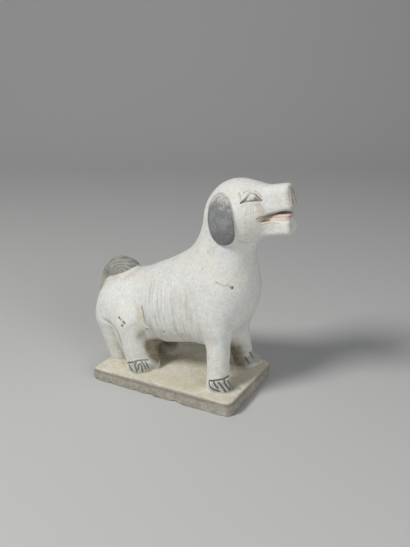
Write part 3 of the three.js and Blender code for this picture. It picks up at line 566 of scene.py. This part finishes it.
for layer in (lines([LID_UPPER], 1.25, 0.95, True), lines([LID_LOWER], 1.15, 0.9, True), lines([OUTER_CORNER], 1.5, 1.0, True), lines([EYE_CORNER], 1.4, 0.95, True),
              lines(BROWS, 1.5, 0.55, True), lines(COMBED, 0.9, 0.38, True), lines([LIP_UPPER], 1.3, 0.75, True), lines([JAW_EDGE], 1.1, 0.55, True),
              lines([TONGUE_LINE], 1.2, 0.7, True), lines([NOSTRIL], 1.4, 0.8, True)):
    sepia = np.maximum(sepia, layer)
mark("sepia", sepia)
def blots(which, S=P): return np.clip(sum(k * np.exp(-(((S[0] - x) ** 2 + (S[1] - y) ** 2 + (S[2] - z) ** 2) / r ** 2) ** 1.3) for (x, y, z), r, k in which), 0, 1)
# grey wash painted on the paws; its two spots on the slab beside the near forepaw are a painted shadow of the paw
mark("wash", np.clip(blots([((-45.6, -50.5, 24.5), 7, .7), ((-37.6, -49.1, 22.5), 8, .8), ((-30.9, -41.2, 23), 7, .8), ((-29, -33, 22), 6, .7),
                            ((66.0, -47.5, 24.0), 6.5, .6), ((74.1, -46.3, 26.0), 8, .75), ((81.7, -40.7, 26.0), 8, .85), ((84.5, -33.7, 25.0), 7.5, .9),
                            ((86.5, -25.5, 18.6), 6.5, .7), ((91.0, -23.5, 18.8), 4.5, .45), ((80, 38, 30), 9, .8), ((77, 30, 28), 7, .6), ((83, 48, 26), 8, .7)]), 0, 1))
# brown soil on the inner legs, which is also painted shade in the recesses under the belly, between the legs and below
# the ear
mark("brown", blots([((-30.6, -33.0, 50.4), 8, .55), ((-28.0, -31.3, 40.3), 9, .65), ((-25.0, -26.7, 29.5), 9, .6), ((-27, -24, 52), 13, .9), ((-24, -12, 44), 18, .8), ((-34, 6, 50), 22, .7),
                     ((-24, 14, 34), 14, .6), ((60, 26, 38), 15, .7), ((57, 28, 52), 17, .5), ((66, 27, 26), 9, .6), ((75, 30, 19), 9, .35),
                     ((-33.5, -42, 70), 9, .35), ((-38, -41, 62), 9, .3), ((58.4, -35.6, 190), 10, .25)]))
mark("pink", np.maximum(blots([((107.3, 20.8, 248.9), 3.6, .65), ((110.4, 19.5, 245.0), 4.4, .8), ((111.8, 19.6, 240.8), 4.0, .85), ((113.5, 17.6, 238.0), 3.2, .5), ((93, 20, 262), 7, .35), ((101, 17, 263), 6, .35)], M),
                        blots([((142.0, -5.8, 224.9), 5.0, .75), ((125, -12, 242), 7, .25), ((22, -49, 125), 11, .45), ((2, -46, 125), 8, .3), ((-70, -18, 131), 9, .6), ((-62, -14, 134), 8, .3),
                               ((-118.0, -6, 106), 6, .9), ((56, -43, 150), 14, .3), ((140, 4.5, 224), 4, .6)])))
mark("yellow", blots([((-38.5, -42.6, 101.7), 5.5, .75), ((-36.5, -43.0, 92.2), 5.5, .9), ((-37.1, -44.5, 82.8), 6, .6), ((-36, -44, 74), 6, .35), ((-5.2, -38.4, 78.4), 4.4, .95), ((-86, -18, 126), 6, .8),
                      ((-94, -17, 124), 6, .6), ((-62, -5, 137), 7, .7), ((-62, -14, 133), 6, .4), ((34.6, -45.4, 145.4), 5, .4), ((58, -37.5, 196), 9, .5), ((54, -39, 178), 12, .35), ((-116, -7, 112), 4, .7),
                      ((-62, -50, 60), 7, .4), ((-64, -48, 40), 8, .4), ((46, -34, 17.5), 9, .75), ((40, -46, 17.5), 12, .6), ((22, -48, 17), 13, .55), ((70, -52, 18), 9, .5), ((-20, -50, 16.6), 16, .3),
                      ((88, 40, 18), 12, .55), ((100.5, -19, 241), 4, .0), ((44, -30, 60), 12, .25)]))
mark("comb", comb_mask(P) * combing(P)); mark("combed", comb_mask(P))

# ================================================================================================ finish
mat = bpy.data.materials.new("slipped_earthenware"); mat.use_nodes = True
tree = mat.node_tree; tree.nodes.clear()
def node(kind, **values):
    n = tree.nodes.new(kind)
    for k, v in values.items():
        if k in n.inputs.keys() if not k.startswith("_") else False: n.inputs[k].default_value = v
        else: setattr(n, k.lstrip("_"), v)
    return n
def link(a, b): tree.links.new(a, b)
def math_node(op, a, b=None, c=None, clamp=False):
    n = tree.nodes.new("ShaderNodeMath"); n.operation = op; n.use_clamp = clamp
    for i, v in enumerate((a, b, c)):
        if v is None: continue
        if isinstance(v, (int, float)): n.inputs[i].default_value = v
        else: link(v, n.inputs[i])
    return n.outputs[0]
def attr(name):
    n = tree.nodes.new("ShaderNodeAttribute"); n.attribute_name = name; return n.outputs["Fac"]
def band(v, a, b, lo=0.0, hi=1.0):
    n = tree.nodes.new("ShaderNodeMapRange"); n.interpolation_type = "SMOOTHSTEP"
    link(v, n.inputs["Value"]); n.inputs["From Min"].default_value = a; n.inputs["From Max"].default_value = b
    n.inputs["To Min"].default_value = lo; n.inputs["To Max"].default_value = hi
    return n.outputs["Result"]
def mix(fac, a, b, how="MIX"):
    n = tree.nodes.new("ShaderNodeMix"); n.data_type = "RGBA"; n.blend_type = how
    for v, key in ((fac, 0), (a, 6), (b, 7)):
        if isinstance(v, (int, float)): n.inputs[key].default_value = v
        elif isinstance(v, tuple): n.inputs[key].default_value = (*v, 1)
        else: link(v, n.inputs[key])
    return n.outputs[2]
coords = tree.nodes.new("ShaderNodeTexCoord").outputs["Object"]
def stretched(scale):
    n = tree.nodes.new("ShaderNodeMapping"); link(coords, n.inputs["Vector"]); n.inputs["Scale"].default_value = scale; return n.outputs["Vector"]
def noise(scale_mm, detail=3, rough=0.55, vector=None, offset=(0, 0, 0), distortion=0.0):
    n = tree.nodes.new("ShaderNodeTexNoise"); n.inputs["Scale"].default_value = 1000 / scale_mm
    n.inputs["Detail"].default_value = detail; n.inputs["Roughness"].default_value = rough; n.inputs["Distortion"].default_value = distortion
    m = tree.nodes.new("ShaderNodeMapping"); m.inputs["Location"].default_value = offset; link(vector or coords, m.inputs["Vector"]); link(m.outputs["Vector"], n.inputs["Vector"])
    return n.outputs["Fac"]
def rgb(r, g, b):
    """A colour as seen, 0 to 255, in the shader's own linear scale."""
    return tuple(((c / 255 + 0.055) / 1.055) ** 2.4 if c > 10 else c / 255 / 12.92 for c in (r, g, b))

def times(a, b): return math_node("MULTIPLY", a, b)
def plus(*terms):
    out = terms[0]
    for t in terms[1:]: out = math_node("ADD", out, t)
    return out
n_big, n_mid, n_small, n_fine = noise(34, 4), noise(9, 4, 0.6, offset=(1, 2, 3)), noise(3.4, 3, 0.6, offset=(4, 1, 2)), noise(1.3, 2, 0.6, offset=(2, 5, 1))
n_hue, n_patch = noise(22, 3, 0.5, offset=(7, 3, 5)), noise(6, 3, 0.5, offset=(3, 8, 6))
def rough(edge, by, what=None):
    """A mask's edge made uneven by a noise."""
    return math_node("MULTIPLY_ADD", what or n_small, by, math_node("ADD", edge, -by / 2))
# white slip, a little greyer or warmer from place to place
colour = mix(band(n_hue, 0.36, 0.64), rgb(231, 232, 229), rgb(230, 228, 220))
colour = mix(band(n_patch, 0.52, 0.70, 0, 0.55), colour, rgb(222, 218, 205))
colour = mix(band(n_mid, 0.54, 0.74, 0, 0.55), colour, rgb(206, 205, 197))
colour = mix(band(attr("comb"), 0.10, 0.9, 0, 0.45), colour, rgb(190, 191, 188))
colour = mix(band(attr("comb"), -0.9, -0.2, 0.5, 0), colour, rgb(242, 242, 240))
streak = noise(2.6, 2, 0.5, vector=stretched((1.0, 0.3, 0.11)), offset=(3, 1, 0), distortion=0.15)
colour = mix(times(band(streak, 0.50, 0.68, 0, 0.32), attr("combed")), colour, rgb(178, 180, 178))
# slab: cream above, darker and greyer on its sides, with a purple-grey band below the top edge
top_colour = mix(band(n_hue, 0.38, 0.62), rgb(227, 223, 208), rgb(223, 216, 195))
top_colour = mix(band(n_big, 0.5, 0.72, 0, 0.6), top_colour, rgb(206, 200, 180))
top_colour = mix(band(n_patch, 0.56, 0.72, 0, 0.5), top_colour, rgb(196, 186, 160))
side_colour = mix(band(n_patch, 0.42, 0.60), rgb(166, 161, 148), rgb(181, 178, 161))
side_colour = mix(band(n_mid, 0.5, 0.66, 0, 0.75), side_colour, rgb(149, 142, 136))
purple = times(band(plus(attr("slab_low"), times(n_mid, 5.0)), 3.8, 5.2), band(plus(attr("slab_low"), times(n_mid, 5.0)), 6.4, 9.0, 1, 0))
side_colour = mix(times(purple, 0.7), side_colour, rgb(145, 135, 133))
edge = rough(attr("slab_in"), 2.0, n_mid)
slab_colour = mix(band(edge, 0.5, 2.6, 1, 0), top_colour, side_colour)
colour = mix(band(rough(attr("on_slab"), 2.4, n_mid), -0.6, 0.8), colour, slab_colour)
# stains; the brown one is partly painted shade in the recesses under the belly, between the legs and below the ear
colour = mix(band(rough(attr("pink"), 0.5, n_mid), 0.10, 0.9, 0, 0.58), colour, rgb(212, 192, 174))
colour = mix(band(rough(attr("yellow"), 0.55, n_mid), 0.10, 0.9, 0, 0.60), colour, rgb(208, 202, 168))
colour = mix(band(rough(attr("brown"), 0.6, n_mid), 0.05, 0.95, 0, 0.92), colour, mix(band(n_patch, 0.4, 0.6), rgb(110, 102, 82), rgb(138, 128, 104)))
# grey paint of ears and tail
grey = mix(band(n_mid, 0.34, 0.66), rgb(130, 133, 133), rgb(149, 150, 147))
grey = mix(band(n_patch, 0.55, 0.72, 0, 0.6), grey, rgb(132, 130, 141))
z = tree.nodes.new("ShaderNodeSeparateXYZ"); link(coords, z.inputs[0]); z = z.outputs["Z"]
ear = mix(band(z, 0.203, 0.228, 0.85, 0), grey, rgb(120, 116, 122))
ear = mix(times(band(rough(times(z, 100), 2.4, n_mid), 24.0, 25.2), band(n_small, 0.30, 0.56)), ear, rgb(205, 199, 194))
ear = mix(band(n_small, 0.56, 0.74, 0, 0.55), ear, rgb(170, 170, 167))
tail_colour = mix(band(n_mid, 0.4, 0.66), rgb(140, 140, 134), rgb(156, 155, 149))
tail_colour = mix(times(attr("coil"), 0.8), tail_colour, rgb(180, 180, 168))
tail_colour = mix(band(z, 0.108, 0.120, 0.8, 0), tail_colour, rgb(186, 176, 156))
colour = mix(band(rough(attr("ear"), 0.9), -0.3, 0.5), colour, ear)
colour = mix(band(rough(attr("tail"), 1.2), 2.0, 3.0), colour, tail_colour)
# mouth and nose
colour = mix(band(rough(attr("mouth"), 0.8), 0.0, 1.6, 0, 0.85), colour, rgb(232, 212, 198))
colour = mix(band(attr("tongue"), -0.2, 0.6, 0, 0.9), colour, mix(band(n_patch, 0.4, 0.6), rgb(222, 196, 186), rgb(208, 180, 176)))
colour = mix(band(rough(attr("nose"), 1.6), 0.0, 1.6, 0, 0.75), colour, mix(band(n_patch, 0.42, 0.58), rgb(214, 196, 188), rgb(184, 176, 168)))
# dirt and painted shade in hollows and creases, darker in grooves, brushed lines
dirt_and_shade = rough(attr("hollow"), 0.5, n_mid)
colour = mix(band(dirt_and_shade, 0.30, 1.0, 0, 0.62), colour, rgb(142, 134, 112))
colour = mix(band(attr("dent"), 0.35, 1.5, 0, 0.5), colour, rgb(150, 143, 122))
# grey wash on the paws, and the near forepaw's painted shadow on the slab
colour = mix(times(band(rough(attr("wash"), 0.5), 0.15, 0.85), 0.62), colour, rgb(146, 146, 134))
# brownish face lines, painted shade at the eye's outer corner and painted shadow under the upper lip
colour = mix(band(rough(attr("sepia"), 0.35), 0.12, 0.85, 0, 0.74), colour, rgb(128, 118, 100))
colour = mix(band(rough(attr("ink"), 0.4), 0.12, 0.80, 0, 0.92), colour, rgb(84, 83, 74))
specks = noise(1.7, 1, 0.5, offset=(9, 4, 7))
colour = mix(band(specks, 0.70, 0.76, 0, 0.55), colour, rgb(142, 135, 116))
# grain: the slip's own unevenness in tone
tone = plus(1.0, times(plus(n_fine, -0.5), 0.34), times(plus(n_small, -0.5), 0.36), times(plus(n_mid, -0.5), 0.30))
colour = mix(1.0, colour, tone, "MULTIPLY")

shader = tree.nodes.new("ShaderNodeBsdfPrincipled")
link(colour, shader.inputs["Base Color"])
link(band(n_mid, 0.3, 0.7, 0.78, 0.95), shader.inputs["Roughness"])
shader.inputs["Specular IOR Level"].default_value = 0.25
bump = tree.nodes.new("ShaderNodeBump"); bump.inputs["Strength"].default_value = 0.5; bump.inputs["Distance"].default_value = 0.0008
link(plus(times(n_small, 0.6), times(n_fine, 0.4), times(times(streak, attr("combed")), -0.5)), bump.inputs["Height"])
link(bump.outputs["Normal"], shader.inputs["Normal"])
out = tree.nodes.new("ShaderNodeOutputMaterial"); link(shader.outputs["BSDF"], out.inputs["Surface"])
me.materials.append(mat)

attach(piece, "root")
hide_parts("dog_figure")

# ================================================================================================ stage
floor_mat = bpy.data.materials.new("studio_floor"); floor_mat.use_nodes = True
fb = floor_mat.node_tree.nodes["Principled BSDF"]
fb.inputs["Base Color"].default_value = (0.60, 0.60, 0.59, 1); fb.inputs["Roughness"].default_value = 0.95
def sweep_profile():
    """Floor that turns up into a wall behind, seen from the side."""
    pts = [(-3.0, 0.0), (1.2, 0.0)]
    for t in np.linspace(0, math.pi / 2, 13)[1:]: pts.append((1.2 + 0.8 * math.sin(t), 0.8 - 0.8 * math.cos(t)))
    return pts + [(2.0, 3.0)]
stage_me = bpy.data.meshes.new("studio_floor")
prof = sweep_profile(); ca, sa = math.cos(math.radians(29.84)), math.sin(math.radians(29.84))
verts = [(x * ca - y * sa, x * sa + y * ca, z) for x in (-4.0, 4.0) for y, z in prof]
k = len(prof)
stage_me.from_pydata(verts, [], [(i, k + i, k + i + 1, i + 1) for i in range(k - 1)])
stage_me.polygons.foreach_set("use_smooth", [True] * (k - 1))
stage_me.materials.append(floor_mat)
floor = bpy.data.objects.new("studio_floor", stage_me)
bpy.context.scene.collection.objects.link(floor)

def area_light(name, at, to, size, power, colour=(1, 1, 1)):
    l = bpy.data.lights.new(name, "AREA"); l.shape = "DISK"; l.size = size; l.energy = power; l.color = colour
    o = bpy.data.objects.new(name, l); bpy.context.scene.collection.objects.link(o)
    o.location = at; o.rotation_euler = (Vector(to) - Vector(at)).to_track_quat("-Z", "Y").to_euler()
    return o
def from_direction(x, y, z, distance):
    d = Vector((x, y, z)).normalized() * distance
    return (d.x, d.y, d.z + 0.12)
area_light("key", from_direction(-0.26, -0.64, 0.74, 2.0), (0.0, 0.0, 0.12), 0.62, 27, (1.0, 0.995, 0.985))
area_light("fill", from_direction(0.85, -0.42, 0.36, 1.8), (0.0, 0.0, 0.12), 1.0, 8, (0.97, 0.98, 1.0))
area_light("top", from_direction(0.1, 0.25, 1.0, 2.0), (0.0, 0.0, 0.12), 1.0, 2.5)
world = bpy.data.worlds.new("studio"); bpy.context.scene.world = world; world.use_nodes = True
world.node_tree.nodes["Background"].inputs["Color"].default_value = (0.9, 0.93, 1.0, 1)
world.node_tree.nodes["Background"].inputs["Strength"].default_value = 0.10

cam = bpy.data.cameras.new("camera"); cam.lens = 50; cam.sensor_width = 36; cam.sensor_height = 36; cam.sensor_fit = "AUTO"
cam.clip_start = 0.01; cam.clip_end = 30
camera = bpy.data.objects.new("camera", cam); bpy.context.scene.collection.objects.link(camera)
az, el = math.radians(29.84), math.radians(20.50)
back = Vector((math.sin(az) * math.cos(el), -math.cos(az) * math.cos(el), math.sin(el)))
camera.location = Vector((0.03045, 0.0, 0.14685)) + back * 0.9115
camera.rotation_euler = back.to_track_quat("Z", "Y").to_euler()
bpy.context.scene.camera = camera
bpy.context.scene.view_settings.view_transform = "Standard"
